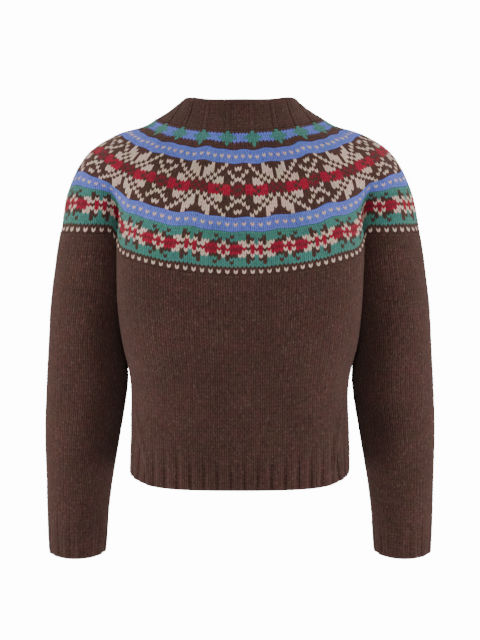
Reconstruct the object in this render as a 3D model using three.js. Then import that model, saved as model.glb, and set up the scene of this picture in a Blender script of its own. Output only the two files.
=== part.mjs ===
// A cropped fair isle jumper, worn shape, hollow: a ribbed neckband, a round yoke knitted in one piece over
// the shoulders, back and front panels, two sleeves, and ribbed hems and cuffs.
// Millimetres, +Z up. The back faces -Y and the wearer's right arm is at +X. The origin is the middle of the
// neck at shoulder height, where the wearer holds the jumper up.
import * as THREE from "three";

// Cloth
const WALL = 3; // thick woollen knit
const NECKBAND_WALL = 5; // the neckband is folded double
const SEAM = 0.3; // what lies between two pieces at a seam

// Heights
const UNDERARM = -307;
const HEM_RIB_TOP = -428;
const HEM = -513;
const SLEEVE_LEVEL_RING = -338; // the first ring of a sleeve that goes all round at one height
const CUFF_TOP = -543;
const CUFF_END = -626;

// Ribs
const HEM_RIBS_PER_PANEL = 25;
const CUFF_RIBS = 14;
const NECK_RIBS = 18;
const RIB_RISE = 1.3; // how far a rib stands out of the furrow beside it

// Columns round the pieces and rows down them
const BACK_COLUMNS = 30;
const SLEEVE_OUTER_COLUMNS = 15;
const CREASE_STEPS = 5;
const PANEL_LOWER_ROWS = 5;
const SLEEVE_TOP_ROWS = 6;
const SLEEVE_LOWER_ROWS = 9;
const YOKE_ROWS = 12;
const NECKBAND_ROWS = 4;
const RIB_ROWS = 3;
const COLUMNS_PER_RIB = 3;
const OUTLINE_STEPS = 720; // how finely an outline is walked to measure along it

// The body's outline at each height: an oval with flattened sides, deeper in front than behind.
const BODY_SECTIONS = [
  { level: -150, halfWidth: 179, back: 118, front: 128, square: 3.0 },
  { level: -190, halfWidth: 178, back: 120, front: 132, square: 3.0 },
  { level: -253, halfWidth: 176, back: 120, front: 132, square: 2.9 },
  { level: -307, halfWidth: 170, back: 119, front: 129, square: 2.8 },
  { level: -369, halfWidth: 160, back: 117, front: 122, square: 2.7 },
  { level: -440, halfWidth: 157.5, back: 115, front: 117, square: 2.7 },
  { level: -513, halfWidth: 157.5, back: 112, front: 113, square: 2.7 },
];

// A sleeve's oval at each height: its centre, its half sizes, and how much its ring drops towards the back.
const SLEEVE_SECTIONS = [
  { level: -140, x: 206, y: 12, halfWidth: 50, halfDepth: 57, drop: 0 },
  { level: -194, x: 212, y: 12, halfWidth: 54.5, halfDepth: 60, drop: 0 },
  { level: -253, x: 218.5, y: 12, halfWidth: 56.5, halfDepth: 61, drop: 0 },
  { level: -307, x: 224.3, y: 12, halfWidth: 54.1, halfDepth: 60, drop: 0 },
  { level: -372, x: 223.5, y: 12, halfWidth: 59, halfDepth: 58, drop: 0.02 },
  { level: -464, x: 231.5, y: 16, halfWidth: 52.3, halfDepth: 51, drop: 0.07 },
  { level: -560, x: 237.7, y: 21, halfWidth: 44.4, halfDepth: 42, drop: 0.13 },
  { level: -626, x: 240, y: 25, halfWidth: 41, halfDepth: 38, drop: 0.16 },
];

// The yoke's rings, from the neck to the chest: half width and height at the shoulders, then depth and height
// at the middle of the back and of the front.
const YOKE_RINGS = [
  { level: 0, halfWidth: 118.5, shoulder: 7, back: 80, backHeight: -9, front: 94, frontHeight: -50 },
  { level: 0.08, halfWidth: 136, shoulder: -3.2, back: 85.3, backHeight: -24, front: 99, frontHeight: -64.4 },
  { level: 0.25, halfWidth: 176, shoulder: -15.5, back: 97, backHeight: -56, front: 110, frontHeight: -95 },
  { level: 0.5, halfWidth: 219.5, shoulder: -44.5, back: 108, backHeight: -106, front: 121, frontHeight: -142 },
  { level: 0.75, halfWidth: 248, shoulder: -96.5, back: 116, backHeight: -157, front: 128, frontHeight: -191 },
  { level: 1, halfWidth: 260, shoulder: -155, back: 119, backHeight: -209, front: 132, frontHeight: -240 },
];
const RING_DIP_POWER = 1.6; // how quickly a ring falls from the shoulder to the middle of the back
const FOLD_START = 0.52; // the share of the yoke's depth at which the armhole folds begin
const FOLD_END = 0.86; // and the share from which they are full

// The neckband's top edge, with the same columns as a ring of the yoke.
const NECK_TOP = { halfWidth: 83, shoulder: 31, back: 57, backHeight: 33, front: 66, frontHeight: -13 };
const NECK_ARCH = 7; // how much the top edge rises between the shoulder and the middle of the back
const NECKBAND_HOLLOW = 3; // how far the neckband's side curves in between its edges

// The yoke's lower edge: its height at the middle of a panel, how much it rises to the side of the panel,
// and how much more it rises in the armhole fold.
const YOKE_EDGE = {
  back: { middle: -209, rise: 26, foldRise: 16 },
  front: { middle: -240, rise: 42, foldRise: 27 },
};
const YOKE_EDGE_SLEEVE = -155;
const FOLD_RISE_POWER = 20;
const FOLD_REACH = 14; // how far the fold's slope carries on round the sleeve

const SIDE_SEAM = 10; // how far in front of the middle the side seams run

const BROWN = 0x3f2924;
const lerp = THREE.MathUtils.lerp;
const smooth = THREE.MathUtils.smoothstep;

// The row of a table at a height between its rows, with every column carried smoothly from row to row.
function rowAt(table, level) {
  const down = table[0].level > table[table.length - 1].level;
  const passed = (row) => (down ? row.level >= level : row.level <= level);
  let i = 0;
  while (i < table.length - 2 && passed(table[i + 1])) i += 1;
  const before = table[Math.max(i - 1, 0)];
  const from = table[i];
  const to = table[i + 1];
  const after = table[Math.min(i + 2, table.length - 1)];
  const span = to.level - from.level;
  const t = THREE.MathUtils.clamp((level - from.level) / span, 0, 1);
  const found = {};
  for (const name of Object.keys(from)) {
    const slopeFrom = (to[name] - before[name]) / (to.level - before.level || 1);
    const slopeTo = (after[name] - from[name]) / (after.level - from.level || 1);
    found[name] =
      (2 * t ** 3 - 3 * t ** 2 + 1) * from[name] +
      (t ** 3 - 2 * t ** 2 + t) * span * slopeFrom +
      (3 * t ** 2 - 2 * t ** 3) * to[name] +
      (t ** 3 - t ** 2) * span * slopeTo;
  }
  return found;
}

// A point of the body's outline. Angle 0 is the wearer's right side, and -PI/2 the middle of the back.
function bodyPoint(angle, level) {
  const s = rowAt(BODY_SECTIONS, level);
  const c = Math.cos(angle);
  const v = Math.sin(angle);
  const power = 2 / s.square;
  const depth = v < 0 ? s.back : s.front;
  const x = s.halfWidth * Math.sign(c) * Math.abs(c) ** power;
  const y = depth * Math.sign(v) * Math.abs(v) ** power;
  return new THREE.Vector3(x, y, level);
}

// A point of the right sleeve's outline. Angle 0 is its outer side, and -PI/2 its back.
function sleevePoint(angle, level) {
  const s = rowAt(SLEEVE_SECTIONS, level);
  const fromMiddle = s.halfDepth * Math.sin(angle);
  const x = s.x + s.halfWidth * Math.cos(angle);
  return new THREE.Vector3(x, s.y + fromMiddle, level + s.drop * fromMiddle);
}

// The body angle of the right side seam.
function seamAngle(level) {
  const s = rowAt(BODY_SECTIONS, level);
  return Math.asin((SIDE_SEAM / s.front) ** (s.square / 2));
}

// Where the body's outline runs into the right sleeve's, behind (side -1) or in front (side 1) of the arm.
function crease(side, level) {
  const s = rowAt(SLEEVE_SECTIONS, level);
  const inSleeve = (p) => ((p.x - s.x) / s.halfWidth) ** 2 + ((p.y - s.y) / s.halfDepth) ** 2 < 1;
  let outside = (side * Math.PI) / 2;
  let inside = seamAngle(level);
  if (inSleeve(bodyPoint(inside, level))) {
    for (let i = 0; i < 40; i += 1) {
      const middle = (outside + inside) / 2;
      if (inSleeve(bodyPoint(middle, level))) inside = middle;
      else outside = middle;
    }
  }
  const at = bodyPoint(inside, level);
  const sleeveAngle = Math.atan2((at.y - s.y) / s.halfDepth, (at.x - s.x) / s.halfWidth);
  return { bodyAngle: inside, sleeveAngle };
}

// The way the cloth faces at a point of the body, of the right sleeve and of the fold between them.
function bodyNormal(p) {
  const s = rowAt(BODY_SECTIONS, p.z);
  const depth = p.y < 0 ? s.back : s.front;
  const x = (Math.sign(p.x) * Math.abs(p.x / s.halfWidth) ** (s.square - 1)) / s.halfWidth;
  const y = (Math.sign(p.y) * Math.abs(p.y / depth) ** (s.square - 1)) / depth;
  return new THREE.Vector3(x, y, 0).normalize();
}
function sleeveNormal(p) {
  const s = rowAt(SLEEVE_SECTIONS, p.z);
  return new THREE.Vector3((p.x - s.x) / s.halfWidth ** 2, (p.y - s.y) / s.halfDepth ** 2, 0).normalize();
}
const foldNormal = (p) => bodyNormal(p).add(sleeveNormal(p)).normalize();

// Angles between two, spaced so that the points they give lie evenly along the outline.
function evenAngles(pointAt, from, to, columns) {
  const walked = [0];
  let last = pointAt(from);
  for (let i = 1; i <= OUTLINE_STEPS; i += 1) {
    const next = pointAt(lerp(from, to, i / OUTLINE_STEPS));
    walked.push(walked[i - 1] + next.distanceTo(last));
    last = next;
  }
  const angles = [];
  let i = 0;
  for (let k = 0; k <= columns; k += 1) {
    const goal = (walked[OUTLINE_STEPS] * k) / columns;
    while (i < OUTLINE_STEPS - 1 && walked[i + 1] < goal) i += 1;
    const share = (goal - walked[i]) / (walked[i + 1] - walked[i]);
    angles.push(lerp(from, to, (i + share) / OUTLINE_STEPS));
  }
  return angles;
}

// The height of the yoke's lower edge on a panel, and on a sleeve a given way from the two folds.
const panelEdgeHeight = (edge, x, halfWidth) => {
  const share = Math.min(Math.abs(x) / halfWidth, 1);
  return edge.middle + edge.rise * share ** 2 + edge.foldRise * share ** FOLD_RISE_POWER;
};
const foldHeight = (edge) => edge.middle + edge.rise + edge.foldRise;
const sleeveEdgeHeight = (fromBack, fromFront) => {
  const near = (way) => Math.exp(-((way / FOLD_REACH) ** 2));
  const atBack = (foldHeight(YOKE_EDGE.back) - YOKE_EDGE_SLEEVE) * near(fromBack);
  const atFront = (foldHeight(YOKE_EDGE.front) - YOKE_EDGE_SLEEVE) * near(fromFront);
  return YOKE_EDGE_SLEEVE + atBack + atFront;
};

const mirrored = (p) => new THREE.Vector3(-p.x, p.y, p.z);

// The top row of a panel, from the left fold to the right one (back), or from right to left (front).
function panelTopRow(side) {
  const edge = side < 0 ? YOKE_EDGE.back : YOKE_EDGE.front;
  const level = foldHeight(edge);
  const end = crease(side, level).bodyAngle;
  const middle = (side * Math.PI) / 2;
  const angles = evenAngles((a) => bodyPoint(a, level), middle, end, BACK_COLUMNS / 2);
  const foldX = bodyPoint(end, level).x;
  const half = angles.map((a) => {
    const height = panelEdgeHeight(edge, bodyPoint(a, level).x, foldX);
    return bodyPoint(a, height);
  });
  half[half.length - 1] = bodyPoint(end, level);
  const other = half.slice(1).reverse().map(mirrored);
  return side < 0 ? [...other, ...half] : [...half].reverse().concat(other.reverse());
}

// The part of the yoke's lower edge that lies on the right sleeve, from the back fold to the front one.
function sleeveTopRow() {
  const back = foldHeight(YOKE_EDGE.back);
  const front = foldHeight(YOKE_EDGE.front);
  const from = crease(-1, back).sleeveAngle;
  const to = crease(1, front).sleeveAngle;
  const angles = evenAngles((a) => sleevePoint(a, YOKE_EDGE_SLEEVE), from, to, SLEEVE_OUTER_COLUMNS);
  const flat = angles.map((a) => sleevePoint(a, YOKE_EDGE_SLEEVE));
  const row = angles.map((a, i) =>
    sleevePoint(a, sleeveEdgeHeight(flat[i].distanceTo(flat[0]), flat[i].distanceTo(flat[flat.length - 1]))),
  );
  row[0] = bodyPoint(crease(-1, back).bodyAngle, back);
  row[row.length - 1] = bodyPoint(crease(1, front).bodyAngle, front);
  return { row, angles };
}

// The yoke's whole lower edge, from the left fold behind, round by the right arm and the front.
function yokeEdge() {
  const { row } = sleeveTopRow();
  const left = row.map(mirrored).reverse();
  return [
    ...panelTopRow(-1).slice(0, -1),
    ...row.slice(0, -1),
    ...panelTopRow(1).slice(0, -1),
    ...left.slice(0, -1),
  ];
}

// How the yoke's lower edge faces, with the pieces below it.
function yokeEdgeNormals(edge) {
  const back = BACK_COLUMNS;
  const sleeve = back + SLEEVE_OUTER_COLUMNS;
  const front = sleeve + BACK_COLUMNS;
  return edge.map((p, i) => {
    const right = p.x < 0 ? mirrored(p) : p;
    const fold = [0, back, sleeve, front].includes(i);
    const onPanel = i < back || (i > sleeve && i < front);
    const normal = fold ? foldNormal(right) : onPanel ? bodyNormal(right) : sleeveNormal(right);
    return p.x < 0 ? mirrored(normal) : normal;
  });
}

// A ring of the yoke or the neckband as an oval, from the middle of the back round by the right arm.
function ovalRing(ring, columns, firstColumn, arch = 0) {
  const pointAt = (angle) => {
    const v = Math.sin(angle);
    const middle = v < 0 ? ring.backHeight : ring.frontHeight;
    const arched = v < 0 ? arch * Math.sin(Math.PI * v) ** 2 : 0;
    const height = lerp(ring.shoulder, middle, Math.abs(v) ** RING_DIP_POWER) + arched;
    return new THREE.Vector3(ring.halfWidth * Math.cos(angle), (v < 0 ? ring.back : ring.front) * v, height);
  };
  const start = -Math.PI / 2;
  const angles = evenAngles(pointAt, start, start + 2 * Math.PI, columns).slice(0, -1);
  const points = angles.map(pointAt);
  return points.map((_, i) => points[(i + firstColumn + columns) % columns]);
}

const YOKE_COLUMNS = 2 * (BACK_COLUMNS + SLEEVE_OUTER_COLUMNS);
const yokeOval = (share) => ovalRing(rowAt(YOKE_RINGS, share), YOKE_COLUMNS, -BACK_COLUMNS / 2);

// The yoke's outside: ovals that take on the armhole folds towards the lower edge.
function yokeRow(share, edge, lowestOval) {
  const fold = smooth(share, FOLD_START, FOLD_END);
  return yokeOval(share).map((p, i) => p.addScaledVector(edge[i].clone().sub(lowestOval[i]), fold));
}

// Normals of a grid that goes all round, rows running down and columns running towards the right arm.
function gridNormals(grid) {
  const columns = grid[0].length;
  return grid.map((row, r) =>
    row.map((_, c) => {
      const round = row[(c + 1) % columns].clone().sub(row[(c - 1 + columns) % columns]);
      const down = grid[Math.min(r + 1, grid.length - 1)][c].clone().sub(grid[Math.max(r - 1, 0)][c]);
      return down.cross(round).normalize();
    }),
  );
}

// A closed wall between an outer and an inner grid, as one geometry.
function wall(outer, inner, closed) {
  const rows = outer.length;
  const columns = outer[0].length;
  const positions = [...outer.flat(), ...inner.flat()].flatMap((p) => [p.x, p.y, p.z]);
  const at = (layer, r, c) => layer * rows * columns + r * columns + (c % columns);
  const faces = [];
  const quad = (a, b, c, d) => faces.push(a, b, c, a, c, d);
  const across = closed ? columns : columns - 1;
  for (let c = 0; c < across; c += 1) {
    for (let r = 0; r < rows - 1; r += 1) {
      quad(at(0, r, c), at(0, r + 1, c), at(0, r + 1, c + 1), at(0, r, c + 1));
      quad(at(1, r, c), at(1, r, c + 1), at(1, r + 1, c + 1), at(1, r + 1, c));
    }
    quad(at(0, 0, c), at(0, 0, c + 1), at(1, 0, c + 1), at(1, 0, c));
    const last = rows - 1;
    quad(at(0, last, c), at(1, last, c), at(1, last, c + 1), at(0, last, c + 1));
  }
  if (!closed) {
    const end = columns - 1;
    for (let r = 0; r < rows - 1; r += 1) {
      quad(at(0, r, 0), at(1, r, 0), at(1, r + 1, 0), at(0, r + 1, 0));
      quad(at(0, r, end), at(0, r + 1, end), at(1, r + 1, end), at(1, r, end));
    }
  }
  const geometry = new THREE.BufferGeometry();
  geometry.setAttribute("position", new THREE.Float32BufferAttribute(positions, 3));
  geometry.setIndex(faces);
  geometry.computeVertexNormals();
  return geometry;
}

// A piece of cloth on an outer grid. relief(row, column) is how far the outside stands out of the grid.
function cloth(grid, normals, { closed = false, thickness = WALL, relief = () => 0 } = {}) {
  const move = (amount) =>
    grid.map((row, r) => row.map((p, c) => p.clone().addScaledVector(normals[r][c], amount(r, c))));
  return wall(move(relief), move(() => -thickness), closed);
}

const faced = (grid, normalAt) => grid.map((row) => row.map(normalAt));

// Draws the two ends of a row in by half a seam, along the row.
function trimmed(row) {
  const pull = (end, next) => end.add(next.clone().sub(end).setLength(SEAM / 2));
  pull(row[0], row[1]);
  pull(row[row.length - 1], row[row.length - 2]);
  return row;
}

const lowered = (row, by) => row.map((p) => p.clone().setZ(p.z - by));

// The heights at which a panel and a sleeve share points down an armhole fold, closer near the underarm.
function creaseLevels(side) {
  const top = foldHeight(side < 0 ? YOKE_EDGE.back : YOKE_EDGE.front);
  const steps = Array.from({ length: CREASE_STEPS + 1 }, (_, k) => k / CREASE_STEPS);
  return steps.map((s) => lerp(top, UNDERARM, 1 - (1 - s) ** 1.7));
}

// A row of a panel between two body angles that mirror each other, at the heights given for its columns.
function panelRow(side, endAngle, level, heights) {
  const middle = (side * Math.PI) / 2;
  const half = evenAngles((a) => bodyPoint(a, level), middle, endAngle, BACK_COLUMNS / 2);
  const right = half.map((a, i) => bodyPoint(a, heights[BACK_COLUMNS / 2 + i]));
  const left = right.slice(1).reverse().map(mirrored);
  const leftToRight = [...left, ...right];
  return side < 0 ? leftToRight : leftToRight.reverse();
}

// The back (side -1) or the front (side 1): from the yoke's edge to the hem rib.
function panelGrid(side) {
  const top = panelTopRow(side);
  const topHeights = (side < 0 ? top : [...top].reverse()).map((p) => p.z);
  const rows = creaseLevels(side).map((level, k) => {
    const share = (level - topHeights[0]) / (UNDERARM - topHeights[0]);
    const heights = topHeights.map((z) => lerp(z, UNDERARM, share));
    return k === 0 ? top : panelRow(side, crease(side, level).bodyAngle, level, heights);
  });
  for (let k = 1; k <= PANEL_LOWER_ROWS; k += 1) {
    const level = lerp(UNDERARM, HEM_RIB_TOP, k / PANEL_LOWER_ROWS);
    rows.push(panelRow(side, seamAngle(level), level, Array(BACK_COLUMNS + 1).fill(level)));
  }
  rows[0] = lowered(rows[0], SEAM / 2);
  rows[rows.length - 1] = lowered(rows[rows.length - 1], -SEAM / 2);
  return rows.map(trimmed);
}

// The hem rib below a panel.
function hemGrid(side) {
  const columns = HEM_RIBS_PER_PANEL * COLUMNS_PER_RIB + 1;
  const rows = [];
  for (let k = 0; k <= RIB_ROWS; k += 1) {
    const level = lerp(HEM_RIB_TOP - SEAM / 2, HEM, k / RIB_ROWS);
    const end = seamAngle(level);
    const [from, to] = side < 0 ? [-Math.PI - end, end] : [end, Math.PI - end];
    const angles = evenAngles((a) => bodyPoint(a, level), from, to, columns);
    rows.push(trimmed(angles.map((a) => bodyPoint(a, level))));
  }
  return rows;
}

// The right sleeve, from the yoke's edge and the armhole folds down to the cuff.
function sleeveGrid() {
  const { row: outer, angles: outerAngles } = sleeveTopRow();
  const front = creaseLevels(1);
  const back = creaseLevels(-1);
  const inner = [
    ...front.slice(1).map((level) => ({ level, side: 1 })),
    ...back.slice(1, -1).reverse().map((level) => ({ level, side: -1 })),
  ];
  const top = outer.map((p, i) => ({ angle: outerAngles[i], height: p.z, point: p }));
  for (const { level, side } of inner) {
    const found = crease(side, level).sleeveAngle;
    const angle = found < 0 ? found + 2 * Math.PI : found;
    const apart = level === UNDERARM ? 0 : (-side * SEAM) / 2 / rowAt(SLEEVE_SECTIONS, level).halfWidth;
    top.push({ angle, height: level, point: sleevePoint(angle + apart, level) });
  }
  trimmed(outer);
  const columns = top.length;
  const first = top[0].angle;
  const whole = first + 2 * Math.PI;
  const levelAngles = evenAngles((a) => sleevePoint(a, SLEEVE_LEVEL_RING), first, whole, columns);
  const rows = [lowered(top.map((t) => t.point.clone()), SEAM / 2)];
  for (let k = 1; k <= SLEEVE_TOP_ROWS; k += 1) {
    const share = k / SLEEVE_TOP_ROWS;
    rows.push(
      top.map((t, i) => {
        const angle = lerp(t.angle, levelAngles[i], smooth(share, 0, 1));
        return sleevePoint(angle, lerp(t.height, SLEEVE_LEVEL_RING, share));
      }),
    );
  }
  for (let k = 1; k <= SLEEVE_LOWER_ROWS; k += 1) {
    const level = lerp(SLEEVE_LEVEL_RING, CUFF_TOP, k / SLEEVE_LOWER_ROWS);
    const angles = evenAngles((a) => sleevePoint(a, level), first, whole, columns);
    rows.push(angles.slice(0, -1).map((a) => sleevePoint(a, level)));
  }
  rows[rows.length - 1] = lowered(rows[rows.length - 1], -SEAM / 2);
  return rows;
}

// The right cuff.
function cuffGrid() {
  const columns = CUFF_RIBS * COLUMNS_PER_RIB;
  const rows = [];
  for (let k = 0; k <= RIB_ROWS; k += 1) {
    const level = lerp(CUFF_TOP - SEAM / 2, CUFF_END, k / RIB_ROWS);
    const angles = evenAngles((a) => sleevePoint(a, level), 0, 2 * Math.PI, columns).slice(0, -1);
    rows.push(angles.map((a) => sleevePoint(a, level)));
  }
  return rows;
}

function yokeGrid(edge) {
  const lowestOval = yokeOval(1);
  const rows = Array.from({ length: YOKE_ROWS + 1 }, (_, r) => yokeRow(r / YOKE_ROWS, edge, lowestOval));
  rows[YOKE_ROWS] = lowered(rows[YOKE_ROWS], -SEAM / 2);
  return rows;
}

// The neckband, with a hollow curve between its edges.
function neckbandGrid() {
  const top = ovalRing(NECK_TOP, YOKE_COLUMNS, -BACK_COLUMNS / 2, NECK_ARCH);
  const foot = yokeOval(0);
  const rows = [];
  for (let r = 0; r <= NECKBAND_ROWS; r += 1) {
    const share = r / NECKBAND_ROWS;
    const hollow = NECKBAND_HOLLOW * Math.sin(Math.PI * share);
    rows.push(
      top.map((p, i) => {
        const at = p.clone().lerp(foot[i], share);
        const inward = new THREE.Vector3(-at.x, -at.y, 0).setLength(hollow || 1e-6);
        return at.add(inward);
      }),
    );
  }
  return rows;
}

// Parts the last row of an upper grid from the first row of a lower one by a seam, and gives the normals
// that both rows then share.
function partAtSeam(upper, lower) {
  const last = upper.length - 1;
  const between = [upper[last - 1], upper[last].map((p) => p.clone()), lower[1]];
  const slopes = between[0].map((p, c) => between[2][c].clone().sub(p).setLength(SEAM / 2));
  upper[last].forEach((p, c) => p.sub(slopes[c]));
  lower[0].forEach((p, c) => p.add(slopes[c]));
  return gridNormals(between)[1];
}

// Ribs of one furrow column and the rest raised. They fade out in the row that meets the plain knit.
const ribbed = (columnsPerRib, plainRow) => (row, column) =>
  row === plainRow || column % columnsPerRib === 0 ? 0 : RIB_RISE;

// One arm's grid, or normals, from the right arm's.
const rightOf = (grid) => grid;
const leftOf = (grid) => grid.map((row) => row.map(mirrored).reverse());

const wool = (colour) => new THREE.MeshStandardMaterial({ color: colour, roughness: 0.95, metalness: 0 });

function piece(name, geometry, colour = BROWN) {
  const mesh = new THREE.Mesh(geometry, wool(colour));
  mesh.name = name;
  return mesh;
}

const edge = yokeEdge();
const edgeNormals = yokeEdgeNormals(edge);
const neckband = neckbandGrid();
const yoke = yokeGrid(edge);
const neckSeam = partAtSeam(neckband, yoke);
const neckbandNormals = gridNormals(neckband);
neckbandNormals[NECKBAND_ROWS] = neckSeam;
const yokeNormals = gridNormals(yoke);
yokeNormals[0] = neckSeam;
yokeNormals[YOKE_ROWS] = edgeNormals;

function panel(side) {
  const grid = panelGrid(side);
  const normals = faced(grid, bodyNormal);
  const first = side < 0 ? 0 : BACK_COLUMNS + SLEEVE_OUTER_COLUMNS;
  normals[0] = edgeNormals.slice(first, first + BACK_COLUMNS + 1);
  return cloth(grid, normals);
}

function sleeve(ofArm) {
  const grid = sleeveGrid();
  const normals = faced(grid, sleeveNormal);
  for (let i = 0; i <= SLEEVE_OUTER_COLUMNS; i += 1) normals[0][i] = edgeNormals[BACK_COLUMNS + i];
  return cloth(ofArm(grid), ofArm(normals), { closed: true });
}

function hem(side) {
  const grid = hemGrid(side);
  return cloth(grid, faced(grid, bodyNormal), { relief: ribbed(COLUMNS_PER_RIB, 0) });
}

function cuff(ofArm) {
  const grid = cuffGrid();
  const normals = faced(grid, sleeveNormal);
  return cloth(ofArm(grid), ofArm(normals), { closed: true, relief: ribbed(COLUMNS_PER_RIB, 0) });
}

const neckRib = {
  closed: true,
  thickness: NECKBAND_WALL,
  relief: ribbed(YOKE_COLUMNS / NECK_RIBS, NECKBAND_ROWS),
};

const jumper = new THREE.Group();
jumper.add(
  piece("neckband", cloth(neckband, neckbandNormals, neckRib)),
  piece("yoke", cloth(yoke, yokeNormals, { closed: true })),
  piece("back_panel", panel(-1)),
  piece("front_panel", panel(1)),
  piece("back_hem_rib", hem(-1)),
  piece("front_hem_rib", hem(1)),
  piece("sleeve_right", sleeve(rightOf)),
  piece("sleeve_left", sleeve(leftOf)),
  piece("cuff_right", cuff(rightOf)),
  piece("cuff_left", cuff(leftOf)),
);

export default jumper;
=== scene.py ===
"""A cropped fair isle jumper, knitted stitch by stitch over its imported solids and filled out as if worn.

Metres, +Z up. The back faces -Y and the wearer's right arm is at +X.
"""

import bmesh
import bpy
import numpy as np
from bpy.props import FloatProperty, FloatVectorProperty, IntProperty, PointerProperty
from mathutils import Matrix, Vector


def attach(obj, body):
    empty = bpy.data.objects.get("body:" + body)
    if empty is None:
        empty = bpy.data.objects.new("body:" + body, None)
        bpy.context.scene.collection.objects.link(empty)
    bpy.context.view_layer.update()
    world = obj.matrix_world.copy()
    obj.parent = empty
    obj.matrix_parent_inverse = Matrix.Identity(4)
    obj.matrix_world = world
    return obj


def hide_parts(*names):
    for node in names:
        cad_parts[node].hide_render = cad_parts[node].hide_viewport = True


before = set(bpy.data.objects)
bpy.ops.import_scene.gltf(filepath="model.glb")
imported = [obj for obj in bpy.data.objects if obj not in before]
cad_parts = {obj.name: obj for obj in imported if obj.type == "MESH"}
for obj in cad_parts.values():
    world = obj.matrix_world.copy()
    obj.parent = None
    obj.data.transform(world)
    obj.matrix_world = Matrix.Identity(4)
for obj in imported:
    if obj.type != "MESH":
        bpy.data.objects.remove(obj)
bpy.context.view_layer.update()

bl_info = {
    "name": "Fair Isle Jumper",
    "version": (1, 0, 0),
    "blender": (4, 5, 0),
    "location": "3D View > Sidebar > Jumper",
    "description": "Knits a cropped jumper with a round fair isle yoke",
    "category": "Add Mesh",
}

# Heights, in metres
UNDERARM = -0.307
HEM_RIB_TOP = -0.428
HEM = -0.513
CUFF_TOP = -0.543
CUFF_END = -0.626

# The body's outline: height, half width, depth behind, depth in front, squareness
BODY = np.array([
    (-0.150, 0.179, 0.118, 0.128, 3.0),
    (-0.190, 0.178, 0.120, 0.132, 3.0),
    (-0.253, 0.176, 0.120, 0.132, 2.9),
    (-0.307, 0.170, 0.119, 0.129, 2.8),
    (-0.369, 0.1565, 0.117, 0.122, 2.7),
    (-0.440, 0.157, 0.115, 0.117, 2.7),
    (-0.513, 0.158, 0.112, 0.113, 2.7),
])

# A sleeve's oval: height, centre x, centre y, half width, half depth, drop towards the back
SLEEVE = np.array([
    (-0.140, 0.206, 0.012, 0.050, 0.057, 0.0),
    (-0.194, 0.212, 0.012, 0.0545, 0.060, 0.0),
    (-0.253, 0.2185, 0.012, 0.0565, 0.061, 0.0),
    (-0.307, 0.2243, 0.012, 0.0541, 0.060, 0.0),
    (-0.372, 0.2235, 0.012, 0.059, 0.058, 0.02),
    (-0.464, 0.2315, 0.016, 0.0523, 0.051, 0.07),
    (-0.560, 0.2377, 0.021, 0.0444, 0.042, 0.13),
    (-0.626, 0.240, 0.025, 0.041, 0.038, 0.16),
])

# The yoke's ovals: share of the way down, half width, shoulder height, back depth and height, front depth and height
YOKE = np.array([
    (0.00, 0.1185, 0.007, 0.080, -0.009, 0.094, -0.050),
    (0.08, 0.136, -0.0032, 0.0853, -0.024, 0.099, -0.0644),
    (0.25, 0.176, -0.0155, 0.097, -0.056, 0.110, -0.095),
    (0.50, 0.2195, -0.0445, 0.108, -0.106, 0.121, -0.142),
    (0.75, 0.248, -0.0965, 0.116, -0.157, 0.128, -0.191),
    (1.00, 0.260, -0.155, 0.119, -0.209, 0.132, -0.240),
])
NECK_TOP = (0.083, 0.031, 0.057, 0.0345, 0.066, -0.013)  # the neckband's top edge, as a row of the yoke's ovals
NECK_ARCH = 0.0055  # how far the neckband's top edge rises beside the middle of the back
NECK_HOLLOW = 0.003  # how far the neckband curves in between its edges
DIP_POWER = 1.6  # how the yoke's ovals dip from the shoulders to the back and the front
FOLD_START = 0.44  # between these shares of the way down, the yoke's ovals turn into its lower edge
FOLD_END = 0.86
SIDE_SEAM = 0.010  # how far the side seam lies in front of the body's middle

# The yoke's lower edge on the back (-1) and the front (1): middle height, rise to the side, rise in the fold
EDGE = {-1: (-0.209, 0.026, 0.016), 1: (-0.240, 0.042, 0.027)}
EDGE_ON_SLEEVE = -0.155
FOLD_RISE_POWER = 45  # how suddenly the edge rises into the fold on a panel
FOLD_REACH = 0.007  # and how far from the fold on a sleeve
HEM_LIFT = 0.0095  # how far the hem's edge rises at the sides
HEM_LIFT_POWER = 8

# The fold down each side of the body: how far below the neck, and how far from the middle
SIDE_FOLD = np.array([(0.37, 0.1545), (0.39, 0.150), (0.43, 0.1426), (0.466, 0.1356), (0.502, 0.131), (0.515, 0.130)])
RIDGE_HEIGHT, RIDGE_WIDTH = 0.0034, 0.0036
HOLLOW_DEPTH, HOLLOW_WIDTH = 0.0050, 0.0065
HOLLOW_OUT = 0.0090  # how far the hollow lies outside the ridge
FOLD_TO_SIDE = 0.006  # how near the body's side the fold has faded out
FOLD_GROWS = (0.37, 0.42)  # where the fold grows, and where it fades at the hem, below the neck
FOLD_FADES = (0.478, 0.513)
FOLD_FADE = 0.8

# How far down the yoke its rows lie: row number, share of the way
YOKE_ROWS = np.array([
    (0, 0.0), (1, 0.0187), (4, 0.0828), (5, 0.1081), (6, 0.1378), (11, 0.240),
    (26, 0.6091), (31, 0.7055), (42, 0.9440), (43, 0.9662), (44, 0.9885), (45, 1.0),
])

# Yarns, by the letters of the charts
YARNS = {"b": "brown", "c": "cream", "u": "blue", "g": "green", "r": "red", "w": "wine"}

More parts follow.
